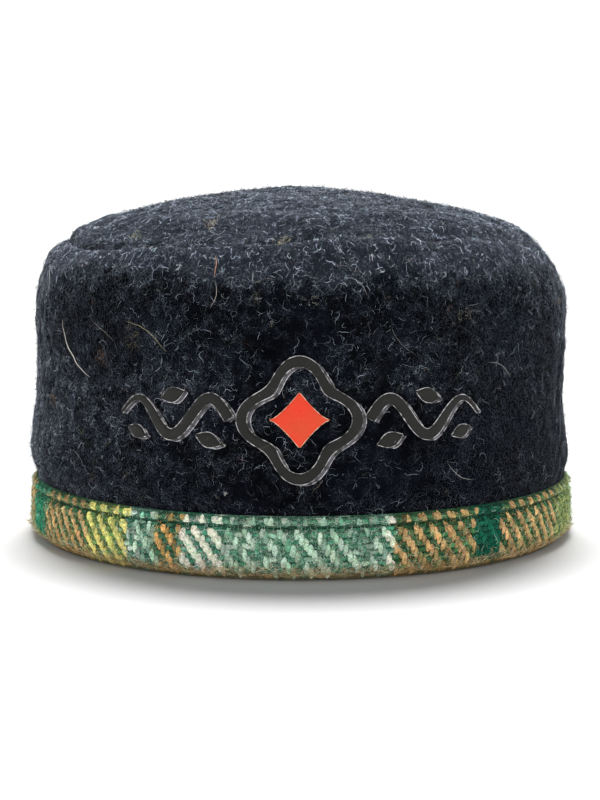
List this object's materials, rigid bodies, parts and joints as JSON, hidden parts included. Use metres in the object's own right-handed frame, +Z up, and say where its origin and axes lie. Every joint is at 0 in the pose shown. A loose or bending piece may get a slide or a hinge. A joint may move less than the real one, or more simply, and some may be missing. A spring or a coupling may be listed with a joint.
{
  "type": "topi cap",
  "caption": "Round brimless topi cap of dark flecked wool with a domed top, a checked tweed binding round the rim and an applied scroll ornament in front.",
  "frame": {"origin": "middle of the rim's footprint on the surface that the cap rests on", "axes": "+Z up, -Y towards the cap's front, +X towards the wearer's left"},
  "size_m": [0.1852, 0.1999, 0.119],
  "materials": {
    "wool": "milled blue-black wool with pale flecks",
    "tweed": "green, orange, white and yellow checked twill",
    "black_applique": "smooth, with a fine pale edge",
    "orange_applique": "smooth bright orange"
  },
  "bodies": {
    "root": {"crown_side": "wool", "crown_top": "wool", "rim_binding": "tweed", "motif_ring": "black_applique", "motif_diamond": "orange_applique", "motif_vine_left": "black_applique", "motif_vine_right": "black_applique", "motif_leaf_left_inner": "black_applique", "motif_leaf_left_middle": "black_applique", "motif_leaf_left_outer": "black_applique", "motif_leaf_right_inner": "black_applique", "motif_leaf_right_middle": "black_applique", "motif_leaf_right_outer": "black_applique"}
  },
  "joints": []
}
